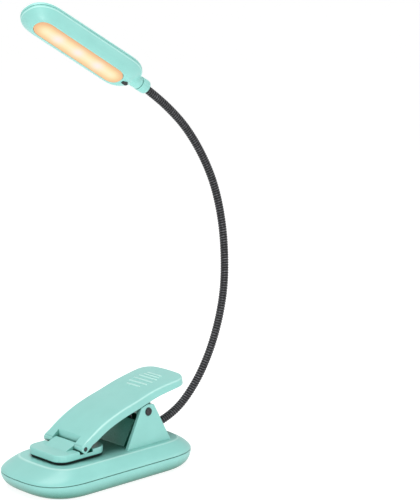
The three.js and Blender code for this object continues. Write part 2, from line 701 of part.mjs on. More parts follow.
const head = new THREE.Group();
head.matrixAutoUpdate = false;
head.matrix.copy(headFrame);
const lift = new THREE.Vector3(0, 0, -HEAD.drop).applyMatrix4(headFrame);
head.matrix.setPosition(HEAD.seam.clone().add(lift));
lamp.add(head);
piece('head_bottom_shell', headBottomShell(), MINT, head);
piece('head_top_shell', headTopShell(), MINT, head);
piece('lens', lensPlate(), WARM, head);
piece('led_board', ledBoard(), BOARD_GREEN, head);
const ledMiddle = (LENS.start + LENS.end) / 2 + 1;
for (const i of [-1, 0, 1]) {
  const x = ledMiddle + i * LED_PITCH;
  piece(`led_${i + 2}`, box(x - 1.4, x + 1.4, -1.4, 1.4, 2.85, 3.65), YELLOW, head);
}
piece('button_switch', box(10.6, 13.8, -1.6, 1.6, 2.9, 4.6), GREY, head);
piece('power_button', buttonBlank(0, BUTTON.bottom, HEAD.depth + 0.9), BLACK, head);
for (const [i, x] of HEAD_SCREWS.entries()) {
  const screw = screwGeometry(0, 0, 0, 5, 1.7, 0.8).rotateX(Math.PI).translate(x, 0, 4.1);
  piece(`head_screw_${i + 1}`, screw, STEEL, head);
}

export default lamp;
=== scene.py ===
"""Looks of the clip-on reading lamp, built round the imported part. Shapes are written in millimetres
and turned into metres as their meshes are made. +X runs from the clip's mouth to the gooseneck."""

import json
import math

import bpy
import numpy as np
from mathutils import Matrix, Vector


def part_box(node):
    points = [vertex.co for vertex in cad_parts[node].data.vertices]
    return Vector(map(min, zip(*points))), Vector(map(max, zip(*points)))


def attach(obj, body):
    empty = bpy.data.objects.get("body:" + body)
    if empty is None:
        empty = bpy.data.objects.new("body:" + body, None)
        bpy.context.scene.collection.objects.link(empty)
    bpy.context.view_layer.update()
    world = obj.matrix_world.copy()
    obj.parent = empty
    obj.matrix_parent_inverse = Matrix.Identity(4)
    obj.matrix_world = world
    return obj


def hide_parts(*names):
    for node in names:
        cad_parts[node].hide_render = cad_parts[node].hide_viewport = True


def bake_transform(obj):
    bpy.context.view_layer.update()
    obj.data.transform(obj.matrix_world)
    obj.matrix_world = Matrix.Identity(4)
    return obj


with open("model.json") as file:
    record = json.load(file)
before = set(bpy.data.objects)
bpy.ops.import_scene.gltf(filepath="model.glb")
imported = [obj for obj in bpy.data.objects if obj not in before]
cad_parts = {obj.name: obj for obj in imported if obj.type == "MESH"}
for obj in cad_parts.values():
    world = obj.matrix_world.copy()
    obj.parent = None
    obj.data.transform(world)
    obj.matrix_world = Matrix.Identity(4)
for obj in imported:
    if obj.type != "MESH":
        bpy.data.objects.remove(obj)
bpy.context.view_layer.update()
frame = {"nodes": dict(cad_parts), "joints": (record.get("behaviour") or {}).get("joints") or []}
MM = 0.001
JOINTS = {joint["name"]: joint for joint in frame["joints"]}


def mm_box(node):
    low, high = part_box(node)
    return np.array(low) / MM, np.array(high) / MM


# ------------------------------------------------------------------ sizes, in millimetres
SOLE_LOW, SOLE_HIGH = mm_box("base_bottom_cover")
PARTING_Z = SOLE_HIGH[2] + 0.3
HALF_LENGTH = SOLE_HIGH[0]
HALF_WIDTH = SOLE_HIGH[1]
TOP_Z = 16.0
WALL = 1.8
SHELTER = 30.0  # how far away a wall still shades plastic
PARTING = dict(front=-HALF_LENGTH, rear=HALF_LENGTH, half_width=HALF_WIDTH, end=28.4, square=2.8)
CREST = dict(front=-43.4, rear=46.6, half_width=21.7, end=17.0, square=3.3)
SOLE = dict(front=-45.0, rear=47.5, half_width=22.8, end=22.0, square=2.9)

PIN_X, PIN_Z = (JOINTS["lever_hinge"]["pos_m"][i] / MM for i in (0, 2))
JAW_X, JAW_Z = (JOINTS["jaw_pivot"]["pos_m"][i] / MM for i in (0, 2))
PIN_RADIUS = 2.15
JAW_PIN_RADIUS = 1.15
TONGUE = 9.0

NECK_RADIUS = 2.35
NECK_PITCH = 1.5
NECK_POINTS = [
    (27.5, 18.1), (36.4, 18.9), (48.2, 21.0), (60.8, 26.4), (72.5, 36.5), (82.3, 49.7), (90.3, 66.5),
    (95.6, 86.0), (96.9, 105.0), (94.6, 129.0), (88.4, 151.0), (79.1, 169.0), (66.6, 185.6), (52.0, 199.0),
]
LEVER_POINTS = [
    (-24.8, 23.4), (-18.0, 28.4), (-8.4, 33.9), (3.0, 38.4), (16.0, 42.1), (28.4, 45.6), (42.0, 48.0),
    (51.8, 49.3),
]

SEAM = np.array(JOINTS["head_turn"]["pos_m"]) / MM
HEAD_AXIS = np.array(JOINTS["head_turn"]["axis"])
LIGHT = -np.array(JOINTS["button_press"]["axis"])
ACROSS = np.cross(LIGHT, HEAD_AXIS)
HEAD_DROP = 0.8
HEAD_DEPTH = 7.4
HEAD_CAP = 2.8


def slim(start, end, half_width, end_length):
    return dict(front=start, rear=end, half_width=half_width, end=end_length, square=2.3)


HEAD_RIM = slim(2.0, 86.3, 10.8, 15.0)
HEAD_FACE = slim(13.2, 80.5, 5.8, 9.0)
LENS = slim(16.0, 79.7, 5.0, 7.0)


# ------------------------------------------------------------------ curves and outlines
def catmull_rom(points, samples=6000):
    """Centripetal Catmull-Rom curve through the points, as (distance, points) along it."""
    p = np.array(points, float)
    p = np.vstack([2 * p[0] - p[1], p, 2 * p[-1] - p[-2]])
    out = []
    per_span = samples // (len(p) - 3)
    for i in range(1, len(p) - 2):
        p0, p1, p2, p3 = p[i - 1], p[i], p[i + 1], p[i + 2]
        d0, d1, d2 = (np.linalg.norm(b - a) ** 0.5 for a, b in ((p0, p1), (p1, p2), (p2, p3)))
        t1 = ((p1 - p0) / d0 - (p2 - p0) / (d0 + d1) + (p2 - p1) / d1) * d1
        t2 = ((p2 - p1) / d1 - (p3 - p1) / (d1 + d2) + (p3 - p2) / d2) * d1
        t = np.linspace(0, 1, per_span, endpoint=i == len(p) - 3)[:, None]
        out.append(
            p1 + t1 * t + (-3 * p1 + 3 * p2 - 2 * t1 - t2) * t ** 2 + (2 * p1 - 2 * p2 + t1 + t2) * t ** 3
        )
    curve = np.vstack(out)
    steps = np.linalg.norm(np.diff(curve, axis=0), axis=1)
    return np.concatenate([[0], np.cumsum(steps)]), curve


class Path:
    """A curve in the XZ plane, asked by distance along it."""

    def __init__(self, points):
        self.distance, self.curve = catmull_rom(points)
        self.length = self.distance[-1]

    def at(self, s):
        return np.column_stack([np.interp(s, self.distance, self.curve[:, k]) for k in (0, 1)])

    def tangent(self, s):
        d = self.at(np.asarray(s) + 0.05) - self.at(np.asarray(s) - 0.05)
        return d / np.linalg.norm(d, axis=1, keepdims=True)


def grown(o, by):
    return dict(
        o, front=o["front"] - by, rear=o["rear"] + by, half_width=o["half_width"] + by, end=o["end"] + by,
    )


def mixed(a, b, t):
    return {key: a[key] + (b[key] - a[key]) * t for key in a}


def even(points, count):
    """The closed outline through the points, in count equal steps."""
    closed = np.vstack([points, points[:1]])
    steps = np.linalg.norm(np.diff(closed, axis=0), axis=1)
    s = np.concatenate([[0], np.cumsum(steps)])
    where = np.linspace(0, s[-1], count, endpoint=False)
    return np.column_stack([np.interp(where, s, closed[:, k]) for k in (0, 1)])


def slab(o, count=200):
    """Long outline: straight sides between two half superellipses."""
    u = np.linspace(0, 2 * math.pi, 4000, endpoint=False)
    c, s = np.cos(u), np.sin(u)
    reach = o["end"] * np.abs(c) ** (2 / o["square"])
    x = np.where(c > 0, o["rear"] - o["end"] + reach, o["front"] + o["end"] - reach)
    y = o["half_width"] * np.sign(s) * np.abs(s) ** (2 / o["square"])
    return even(np.column_stack([x, y]), count)


def rounded_rect(x0, x1, half_width, corner, count=120):
    a = np.radians(np.linspace(0, 90, 24))
    parts = []
    for turn, (cx, cy) in enumerate((
        (x1 - corner, half_width - corner), (x0 + corner, half_width - corner),
        (x0 + corner, -half_width + corner), (x1 - corner, -half_width + corner),
    )):
        b = a + turn * math.pi / 2
        parts.append(np.column_stack([cx + corner * np.cos(b), cy + corner * np.sin(b)]))
    return even(np.vstack(parts), count)


def level(outline, z):
    return np.column_stack([outline, np.full(len(outline), float(z))])


def between(a, middle, b, steps):
    """Rings on a quadratic arc from ring a to ring b, with the middle ring as its corner."""
    return [
        (1 - t) ** 2 * a + 2 * t * (1 - t) * middle + t ** 2 * b for t in np.linspace(0, 1, steps + 1)
    ]


def arc(cx, cy, radius, start, stop, steps):
    a = np.radians(np.linspace(start, stop, steps + 1))
    return [(cx + radius * math.cos(v), cy + radius * math.sin(v)) for v in a]


def filleted(points, radii, steps=5):
    """Closed outline with each corner rounded to its own radius."""
    out = []
    n = len(points)
    p = [np.array(q, float) for q in points]
    for i in range(n):
        before, here, after = p[i - 1], p[i], p[(i + 1) % n]
        r = radii[i]
        if r == 0:
            out.append(here)
            continue
        u = (before - here) / np.linalg.norm(before - here)
        v = (after - here) / np.linalg.norm(after - here)
        half = math.acos(max(-1, min(1, float(u @ v)))) / 2
        back = r / math.tan(half)
        a, b = here + u * back, here + v * back
        centre = here + (u + v) / np.linalg.norm(u + v) * r / math.sin(half)
        va, vb = a - centre, b - centre
        sweep = math.atan2(va[0] * vb[1] - va[1] * vb[0], va @ vb)
        for t in np.linspace(0, 1, steps + 1):
            c, s = math.cos(sweep * t), math.sin(sweep * t)
            out.append(centre + np.array([va[0] * c - va[1] * s, va[0] * s + va[1] * c]))
    return np.array(out)


# ------------------------------------------------------------------ meshes
def make(name, vertices, faces, sharp=40):
    """A piece from vertices in millimetres. Edges sharper than the given angle stay sharp."""
    mesh = bpy.data.meshes.new(name)
    mesh.from_pydata((np.asarray(vertices, float) * MM).tolist(), [], faces)
    mesh.shade_smooth()
    obj = bpy.data.objects.new(name, mesh)
    bpy.context.scene.collection.objects.link(obj)
    outward(obj)
    mesh.set_sharp_from_angle(angle=math.radians(sharp))
    return obj


def outward(obj):
    """Turns the faces of a closed mesh to look out."""
    mesh = obj.data
    mesh.calc_loop_triangles()
    corners = np.array([[mesh.vertices[i].co for i in t.vertices] for t in mesh.loop_triangles])
    volume = np.einsum("ij,ij->i", corners[:, 0], np.cross(corners[:, 1], corners[:, 2])).sum()
    if volume < 0:
        mesh.flip_normals()


def loft(name, rings, wrap=False, **options):
    """Skin over rings of equal count. Without wrap, a flat cap closes each end."""
    n, k = len(rings[0]), len(rings)
    faces = []
    for r in range(k if wrap else k - 1):
        a, b = r * n, (r + 1) % k * n
        faces += [(a + i, a + (i + 1) % n, b + (i + 1) % n, b + i) for i in range(n)]
    if not wrap:
        faces.append(tuple(reversed(range(n))))
        faces.append(tuple(range((k - 1) * n, k * n)))
    return make(name, np.vstack(rings), faces, **options)


def prism(name, outline, y0, y1, **options):
    """A side view in X and Z with its thickness along Y."""
    ring = np.array([(x, 0.0, z) for x, z in outline])
    return loft(name, [ring + [0, y0, 0], ring + [0, y1, 0]], **options)


def turned(name, profile, origin, axis, sides=64, **options):
    """A lathe shape: profile of (radius, distance) pairs about the axis through origin. It starts and
    ends on the axis, or closes on itself."""
    axis = np.array(axis, float) / np.linalg.norm(axis)
    side = np.cross(axis, [0.0, 1.0, 0.0] if abs(axis[1]) < 0.9 else [1.0, 0.0, 0.0])
    side /= np.linalg.norm(side)
    other = np.cross(axis, side)
    u = np.linspace(0, 2 * math.pi, sides, endpoint=False)
    circle = np.outer(np.cos(u), side) + np.outer(np.sin(u), other)
    solid = profile[0][0] == 0
    body = profile[1:-1] if solid else profile
    rings = [np.array(origin) + axis * h + circle * r for r, h in body]
    if not solid:
        return loft(name, rings, wrap=True, **options)
    n, k = sides, len(rings)
    vertices = np.vstack(rings + [[np.array(origin) + axis * profile[0][1]],
                                  [np.array(origin) + axis * profile[-1][1]]])
    faces = []
    for r in range(k - 1):
        faces += [(r * n + i, r * n + (i + 1) % n, (r + 1) * n + (i + 1) % n, (r + 1) * n + i)
                  for i in range(n)]
    faces += [((i + 1) % n, i, k * n) for i in range(n)]
    faces += [((k - 1) * n + i, (k - 1) * n + (i + 1) % n, k * n + 1) for i in range(n)]
    return make(name, vertices, faces, **options)


def round_edges(profile, radius, steps=4):
    """Rounds the inner corners of an open (radius, distance) profile."""
    out = [profile[0]]
    for i in range(1, len(profile) - 1):
        a, b, c = (np.array(profile[j], float) for j in (i - 1, i, i + 1))
        r = min(radius, np.linalg.norm(a - b) * 0.45, np.linalg.norm(c - b) * 0.45)
        p = b + (a - b) / np.linalg.norm(a - b) * r
        q = b + (c - b) / np.linalg.norm(c - b) * r
        out += [tuple((1 - t) ** 2 * p + 2 * t * (1 - t) * b + t * t * q)
                for t in np.linspace(0, 1, steps + 1)]
    out.append(profile[-1])
    return out


def settle(obj):
    """Applies a piece's modifiers."""
    graph = bpy.context.evaluated_depsgraph_get()
    mesh = bpy.data.meshes.new_from_object(obj.evaluated_get(graph))
    obj.modifiers.clear()
    old, obj.data = obj.data, mesh
    bpy.data.meshes.remove(old)


def combine(obj, tools, operation="DIFFERENCE", sharp=40):
    """Cuts the tools out of a piece, or joins them to it."""
    for tool in tools:
        m = obj.modifiers.new("combine", "BOOLEAN")
        m.operation = operation
        m.solver = "EXACT"
        m.object = tool
    bpy.context.view_layer.update()
    settle(obj)
    for tool in tools:
        bpy.data.objects.remove(tool)
    obj.data.shade_smooth()
    obj.data.set_sharp_from_angle(angle=math.radians(sharp))
    return obj


def soften(obj, width, angle=35, segments=3):
    """Rounds a piece's sharp edges."""
    m = obj.modifiers.new("edges", "BEVEL")
    m.width = width * MM
    m.segments = segments
    m.limit_method = "ANGLE"
    m.angle_limit = math.radians(angle)
    m.harden_normals = True
    settle(obj)
    return obj


# ------------------------------------------------------------------ materials
class Nodes:
    """Short calls for building a material's nodes."""

    def __init__(self, name):
        self.material = bpy.data.materials.new(name)
        self.material.use_nodes = True
        self.tree = self.material.node_tree
        self.shader = self.tree.nodes["Principled BSDF"]

    def add(self, kind, inputs=(), **settings):
        node = self.tree.nodes.new(kind)
        for key, value in settings.items():
            setattr(node, key, value)
        for key, value in dict(inputs).items():
            if isinstance(value, bpy.types.NodeSocket):
                self.tree.links.new(value, node.inputs[key])
            else:
                node.inputs[key].default_value = value
        return node

    def noise(self, scale, detail=3.0, coords="Object"):
        where = self.add("ShaderNodeTexCoord").outputs[coords]
        node = self.add("ShaderNodeTexNoise", {"Vector": where, "Scale": scale, "Detail": detail})
        return node.outputs["Fac"]

    def span(self, value, low, high, new_low, new_high):
        node = self.add("ShaderNodeMapRange", {
            "Value": value, "From Min": low, "From Max": high, "To Min": new_low, "To Max": new_high,
        })
        return node.outputs["Result"]

    def ramp(self, value, stops):
        node = self.add("ShaderNodeValToRGB", {"Fac": value})
        ramp = node.color_ramp
        while len(ramp.elements) < len(stops):
            ramp.elements.new(0.5)
        for element, (at, colour) in zip(ramp.elements, stops):
            element.position = at
            element.color = (*colour, 1)
        return node.outputs["Color"]

    def mix(self, share, a, b):
        """Colour from a to b."""
        node = self.add("ShaderNodeMix", data_type="RGBA")
        factor, first, second = (node.inputs[i] for i in (0, 6, 7))
        for socket, value in ((factor, share), (first, a), (second, b)):
            if isinstance(value, bpy.types.NodeSocket):
                self.tree.links.new(value, socket)
            else:
                socket.default_value = value
        return node.outputs[2]

    def bump(self, height, strength, distance):
        node = self.add("ShaderNodeBump", {"Height": height, "Strength": strength, "Distance": distance})
        return node.outputs["Normal"]

    def set(self, **values):
        for key, value in values.items():
            socket = self.shader.inputs[key.replace("_", " ")]
            if isinstance(value, bpy.types.NodeSocket):
                self.tree.links.new(value, socket)
            else:
                socket.default_value = value


def linear(hex_colour):
    channels = [int(hex_colour[i:i + 2], 16) / 255 for i in (0, 2, 4)]
    return tuple(c / 12.92 if c <= 0.04045 else ((c + 0.055) / 1.055) ** 2.4 for c in channels)


def moulded(name, light, dark, roughness, grain=0.06, painted_shade=None):
    """Moulded plastic: a faint cloudiness in its colour and gloss, and a fine spark-eroded grain. With a
    shade colour given, it carries painted shade that tints it towards that colour in sheltered places, and
    a painted highlight that makes it paler where a mesh marks an edge."""
    m = Nodes(name)
    cloud = m.noise(70.0, 4.0)
    grain_height = m.noise(2600.0, 1.0)
    colour = m.ramp(cloud, [(0.3, linear(dark)), (0.7, linear(light))])
    if painted_shade:
        # Painted shade: the colour darkens towards the shade colour where ambient occlusion finds walls
        # near by.
        open_sky = m.add("ShaderNodeAmbientOcclusion", {"Distance": SHELTER * MM}, samples=16).outputs["AO"]
        colour = m.mix(m.span(open_sky, 0.16, 0.62, 0.0, 1.0), (*linear(painted_shade), 1), colour)
        # Painted highlight: the colour turns pale where the edge attribute marks an edge.
        edge = m.add("ShaderNodeAttribute", attribute_name="edge").outputs["Fac"]
        colour = m.mix(m.span(edge, 0.0, 1.0, 0.0, 0.7), colour, (*linear("d6f8f2"), 1))
    m.set(
        Base_Color=colour,
        Roughness=m.span(m.noise(260.0, 3.0), 0.3, 0.7, roughness - 0.035, roughness + 0.045),
        Normal=m.bump(grain_height, grain, 0.00006),
        IOR=1.49,
    )
    return m.material


# Mint plastic, with painted shade in sheltered places and painted highlights on marked edges.
MINT = moulded("mint_plastic", "93d4cc", "8ecfc7", 0.33, grain=0.02, painted_shade="00644f")
# Paler copy of the mint for the thumb ridges: a painted highlight, not a different plastic.
MINT_PAINTED_HIGHLIGHT = moulded("mint_plastic_ridge_painted_highlight", "c9efe9", "c2ebe4", 0.33, grain=0.02)
BLACK_PIN = moulded("black_pin", "1d1f22", "141517", 0.34, grain=0.04)
BLACK_BUTTON = moulded("black_button", "1a1b1d", "101113", 0.34, grain=0.03)
SWITCH = moulded("switch_body", "33363a", "26282b", 0.5)
CELL = moulded("cell_wrap", "5c626a", "50565e", 0.4)
LED = moulded("led_phosphor", "f4c14a", "e8ad2c", 0.35)


def rubber():
    m = Nodes("black_rubber")
    speck = m.noise(1900.0, 5.0)
    m.set(
        Base_Color=m.ramp(m.noise(160.0), [(0.3, linear("0f1011")), (0.75, linear("1c1d1f"))]),
        Roughness=m.span(speck, 0.3, 0.7, 0.68, 0.86),
        Normal=m.bump(speck, 0.35, 0.00012),
        Specular_IOR_Level=0.35,
    )
    return m.material


def metal(name, light, dark, roughness, stretch=(1, 1, 1)):
    """Drawn or rolled metal with fine lines."""
    m = Nodes(name)
    where = m.add("ShaderNodeTexCoord").outputs["Object"]
    drawn = m.add("ShaderNodeMapping", {"Vector": where, "Scale": stretch}).outputs["Vector"]
    lines = m.add("ShaderNodeTexNoise", {"Vector": drawn, "Scale": 900.0, "Detail": 3.0}).outputs["Fac"]
    m.set(
        Base_Color=m.ramp(m.noise(240.0), [(0.3, linear(dark)), (0.7, linear(light))]),
        Metallic=1.0,
        Roughness=m.span(lines, 0.3, 0.7, roughness - 0.06, roughness + 0.08),
        Normal=m.bump(lines, 0.1, 0.00004),
    )
    return m.material


def board():
    m = Nodes("green_board")
    weave = m.noise(1400.0, 2.0)
    m.set(
        Base_Color=m.ramp(m.noise(300.0), [(0.35, linear("17492f")), (0.7, linear("1f6240"))]),
        Roughness=m.span(weave, 0.3, 0.7, 0.35, 0.5),
        Normal=m.bump(weave, 0.15, 0.00005),
    )
    return m.material


def gooseneck():
    """Blackened steel: painted shade darkens the grooves between the coils and a painted highlight
    brightens their crowns, varied a little by random wear.
    """
    m = Nodes("gooseneck_black")
    groove = m.add("ShaderNodeAttribute", attribute_name="crown").outputs["Fac"]
    wear = m.noise(700.0, 4.0)
    # Painted highlight on the coil crowns and painted shade in the grooves, scaled by random wear.
    crown_highlight_and_wear = m.add("ShaderNodeMath", {0: groove, 1: m.span(wear, 0.3, 0.7, 0.75, 1.0)},
                   operation="MULTIPLY").outputs[0]
    m.set(
        Base_Color=m.ramp(crown_highlight_and_wear, [
            (0.0, linear("040404")), (0.5, linear("1a1a1b")),
            (0.85, linear("454548")), (1.0, linear("707175")),
        ]),
        Metallic=0.7,
        Roughness=m.span(wear, 0.3, 0.7, 0.29, 0.36),
        Normal=m.bump(wear, 0.12, 0.00004),
    )
    return m.material


def diffuser():
    """Warm light through the frosted cover: three soft spots in a cream band with orange edges."""
    m = Nodes("warm_diffuser")
    x = m.add("ShaderNodeAttribute", attribute_name="along").outputs["Fac"]
    y = m.add("ShaderNodeAttribute", attribute_name="across").outputs["Fac"]

    def calc(operation, a, b=0.0):
        return m.add("ShaderNodeMath", {0: a, 1: b}, operation=operation).outputs[0]

    # Distance from the middle line of the lens, which ends short of its rounded ends.
    middle = (LENS["front"] + LENS["rear"]) / 2
    past = calc("MAXIMUM", calc("SUBTRACT", calc("ABSOLUTE", calc("SUBTRACT", x, middle)), 24.0), 0.0)
    along = calc("DIVIDE", past, 8.0)
    side = calc("DIVIDE", y, LENS["half_width"])
    edge = calc("SQRT", calc("ADD", calc("MULTIPLY", along, along), calc("MULTIPLY", side, side)))
    glow = m.ramp(edge, [
        (0.0, linear("fff6cc")), (0.35, linear("ffedba")), (0.6, linear("fcdba2")),
        (0.85, linear("f8c58e")), (1.0, linear("f5b884")),
    ])
    spots = None
    for offset in (-15.0, 0.0, 15.0):
        dx = calc("DIVIDE", calc("SUBTRACT", x, middle + 1.0 + offset), 3.4)
        dy = calc("DIVIDE", y, 2.6)
        spot = calc("POWER", 2.718, calc("MULTIPLY", -1.0, calc("ADD", calc("MULTIPLY", dx, dx),
                                                               calc("MULTIPLY", dy, dy))))
        spots = spot if spots is None else calc("ADD", spots, spot)
    m.set(
        Base_Color=(*linear("3a352c"), 1),
        Roughness=0.45,
        Emission_Color=m.mix(calc("MULTIPLY", spots, 0.9), glow, (*linear("fff1ee"), 1)),
        Emission_Strength=0.9,
    )
    return m.material


RUBBER = rubber()
STEEL = metal("steel", "c4c7ca", "aeb1b5", 0.36)
SPRING_STEEL = metal("spring_steel", "8f9398", "767a80", 0.36)
BOARD = board()
NECK_BLACK = gooseneck()
DIFFUSER = diffuser()


def mark_painted_highlights(obj, values):
    """Says how strongly each point carries the painted highlight of an edge, from 0 to 1."""
    attribute = obj.data.attributes.new("edge", "FLOAT", "POINT")
    attribute.data.foreach_set("value", np.asarray(values, np.float32).ravel())


def dress(obj, material):
    obj.data.materials.clear()
    obj.data.materials.append(material)


def place(obj, body, slot, material, *nodes):
    """Gives a piece its finish, its body and the nodes that it stands for."""
    dress(obj, material)
    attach(obj, body)
    if nodes:
        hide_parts(*nodes)
    return obj


# ------------------------------------------------------------------ base
def shoulder(t):
    return mixed(PARTING, CREST, t ** 1.5)


def bilge(t):
    return mixed(PARTING, SOLE, 1 - math.sqrt(1 - (0.98 * t) ** 2))


def top_cover():
    rise = TOP_Z - PARTING_Z
    ceiling = TOP_Z - 2
    rings = [level(slab(grown(shoulder(0.8 * t), -WALL)), PARTING_Z + (ceiling - PARTING_Z) * t)
             for t in (1, 0.5, 0)]
    rings.append(level(slab(grown(PARTING, -0.2)), PARTING_Z))
    rings.append(level(slab(grown(PARTING, -0.06)), PARTING_Z + 0.06))
    rings += [level(slab(shoulder(t)), PARTING_Z + rise * t) for t in np.linspace(0.03, 0.91, 16)]
    rings += between(
        level(slab(shoulder(0.92)), PARTING_Z + rise * 0.92), level(slab(CREST), TOP_Z),
        level(slab(grown(CREST, -0.6)), TOP_Z), 6,
    )
    rings.append(level(slab(grown(CREST, -1.4)), TOP_Z))
    obj = loft("base_top_shell", rings, sharp=50)
    # Painted highlight along the crest between the top and the shoulder.
    painted_highlight = np.zeros(len(rings))
    painted_highlight[-7:-2] = (0.3, 0.6, 0.8, 0.6, 0.3)
    mark_painted_highlights(obj, np.repeat(painted_highlight, len(rings[0])))
    return obj


def cheek(side):
    """One leaning side of the tower. Its top follows the lever's underside."""
    foot = TOP_Z - 0.6
    peak = 38.5
    corners = [(5.6, foot), (38.0, foot), (27.2, 37.8), (22.6, peak), (18.2, 37.35)]
    outline = filleted(corners, [0, 0, 0.8, 2.0, 0.8], 6)
    outer, thickness, foot_out = 16.4, 2.2, 18.3
    y0, y1 = (outer - thickness, outer) if side > 0 else (-outer, thickness - outer)
    obj = prism(f"tower_cheek_{'far' if side > 0 else 'near'}", outline, y0, y1)
    bore = turned("bore", [(0, -30), (PIN_RADIUS + 0.12, -30), (PIN_RADIUS + 0.12, 30), (0, 30)],
                  (PIN_X, 0, PIN_Z), (0, 1, 0))
    combine(obj, [bore])
    for v in obj.data.vertices:
        v.co.y += side * (foot_out - outer) / (peak - TOP_Z) * (peak * MM - v.co.z)
    return soften(obj, 0.28)


def tower_walls():
    foot = TOP_Z - 0.6
    front = prism("tower_front_wall", [(9.2, foot), (12.2, foot), (19.6, 28.2), (18.0, 29.6)], -10.6, 10.6)
    rear = prism("tower_rear_wall", [(34.9, foot), (37.2, foot), (31.2, 28.4), (28.9, 28.4)], -16.2, 16.2)
    hole = turned("hole", [(0, -8), (NECK_RADIUS + 0.3, -8), (NECK_RADIUS + 0.3, 8), (0, 8)],
                  (35.4, 0, 18.9), (math.cos(math.radians(10)), 0, math.sin(math.radians(10))))
    combine(rear, [hole])
    return [soften(front, 0.3), soften(rear, 0.3)]


SCREW_PLACES = [(x, y) for x in (-38, 38) for y in (-14, 14)]


def stadium(half_width, half_height, count=48):
    return rounded_rect(-half_width, half_width, half_height, half_height * 0.92, count)


def socket_ring(half_width, half_height, x):
    flat = stadium(half_width, half_height)
    return np.column_stack([np.full(len(flat), x), flat[:, 0], flat[:, 1] + 5.2])


def bottom_cover():
    z1 = SOLE_HIGH[2]
    floor = SOLE_LOW[2]
    drop = z1 - floor
    rings = [level(slab(grown(SOLE, -0.5)), floor)]
    rings += [level(slab(bilge(t)), z1 - drop * t) for t in np.linspace(1, 0.03, 18) ** 0.8]
    rings.append(level(slab(grown(PARTING, -0.06)), z1 - 0.06))
    rings.append(level(slab(grown(PARTING, -0.2)), z1))
    rings.append(level(slab(grown(PARTING, -WALL - 0.15)), z1))
    rings.append(level(slab(grown(PARTING, -WALL - 0.15)), z1 + 1.2))
    rings.append(level(slab(grown(PARTING, -WALL - 0.9)), z1 + 1.2))
    inner_floor = floor + WALL
    rings += [level(slab(grown(bilge(0.85 * t), -WALL - 0.9)), z1 - (z1 - inner_floor) * t)
              for t in (0.0, 0.5, 1.0)]
    obj = loft("base_bottom_shell", rings, sharp=50)
    pocket = rounded_rect(-34, 34, 18, 2.5)
    tools = [loft("pocket", [level(pocket, -1), level(pocket, 1.1)])]
    tools.append(loft("mouth", [socket_ring(4.8, 1.95, 40), socket_ring(4.8, 1.95, 60)]))
    for x, y in SCREW_PLACES:
        tools.append(turned("seat", [(0, -1), (2.9, -1), (2.9, 1.75), (1.6, 1.75), (1.6, 3), (0, 3)],
                            (x, y, 0), (0, 0, 1), sides=48))
    return combine(obj, tools, sharp=45)


def foot_pad():
    def ring(inset, z):
        return level(rounded_rect(-33.7 + inset, 33.7 - inset, 17.7 - inset, 2.3), z)

    return loft("rubber_foot", [ring(0.5, 0), ring(0.15, 0.12), ring(0, 0.4), ring(0, 0.97)], sharp=60)


def charge_socket():
    shell = loft("charge_socket_shell", [
        socket_ring(4.5, 1.65, 45.2), socket_ring(4.5, 1.65, 52.5), socket_ring(4.4, 1.55, 52.6),
        socket_ring(4.15, 1.3, 52.6), socket_ring(4.1, 1.25, 52.4), socket_ring(4.1, 1.25, 45.2),
    ], wrap=True)
    tongue_ring = [(45.4, 3.2, 0.35), (51.4, 3.2, 0.35), (51.6, 3.0, 0.2)]
    tongue = loft("charge_socket_tongue", [socket_ring(w, h, x) for x, w, h in tongue_ring])
    back = loft("charge_socket_back", [socket_ring(4.05, 1.2, x) for x in (45.3, 46.2)])
    return shell, tongue, back


def base_screw(index, x, y):
    profile = [(0, 0.5), (2.1, 0.5), (2.35, 0.75), (2.4, 1.0), (2.4, 1.7), (1.0, 1.7), (1.0, 8.7), (0, 9.5)]
    obj = turned(f"base_screw_head_{index}", profile, (x, y, 0), (0, 0, 1), sides=40)
    slots = []
    for turn in (0.4, 0.4 + math.pi / 2):
        c, s = math.cos(turn) * 1.35, math.sin(turn) * 1.35
        c2, s2 = -math.sin(turn) * 0.3, math.cos(turn) * 0.3
        square = [(x + c + c2, y + s + s2), (x - c + c2, y - s + s2),
                  (x - c - c2, y - s - s2), (x + c - c2, y + s - s2)]
        slots.append(loft("slot", [level(np.array(square), 0.2), level(np.array(square), 1.3)]))
    return combine(obj, slots)


place(top_cover(), "base", "mint_plastic", MINT, "base_top_cover")
for part in [cheek(1), cheek(-1), *tower_walls()]:
    place(part, "base", "mint_plastic", MINT, "base_top_cover")
place(bottom_cover(), "base", "mint_plastic", MINT, "base_bottom_cover")
place(foot_pad(), "base", "black_rubber", RUBBER, "foot_pad")
socket_shell, socket_tongue, socket_back = charge_socket()
place(socket_shell, "base", "steel", STEEL, "charge_socket")
place(socket_tongue, "base", "steel", BLACK_BUTTON, "charge_socket")
place(socket_back, "base", "steel", BLACK_BUTTON, "charge_socket")
for number, (screw_x, screw_y) in enumerate(SCREW_PLACES, 1):
    place(base_screw(number, screw_x, screw_y), "base", "steel", STEEL, f"base_screw_{number}")

pin_profile = round_edges([
    (0, -16.95), (0.75, -16.95), (0.95, -17.2), (PIN_RADIUS, -17.2), (PIN_RADIUS, 17.2), (0.95, 17.2),
    (0.75, 16.95), (0, 16.95),
], 0.22)
place(turned("hinge_pin_body", pin_profile, (PIN_X, 0, PIN_Z), (0, 1, 0)),
      "base", "black_metal", BLACK_PIN, "hinge_pin")


# ------------------------------------------------------------------ lever
lever_path = Path(LEVER_POINTS)
LEVER_HALF, LEVER_THICK, LEVER_END, LEVER_FLARE, LEVER_CORNER = 16.4, 2.1, 51.8, 0.7, 7.5
SKIRT_FRONT, SKIRT, SKIRT_END = 2.7, 5.0, 4.4
LEVER_CROWN = 0.35


def smoothstep(x, low, high):
    t = np.clip((x - low) / (high - low), 0, 1)
    return t * t * (3 - 2 * t)


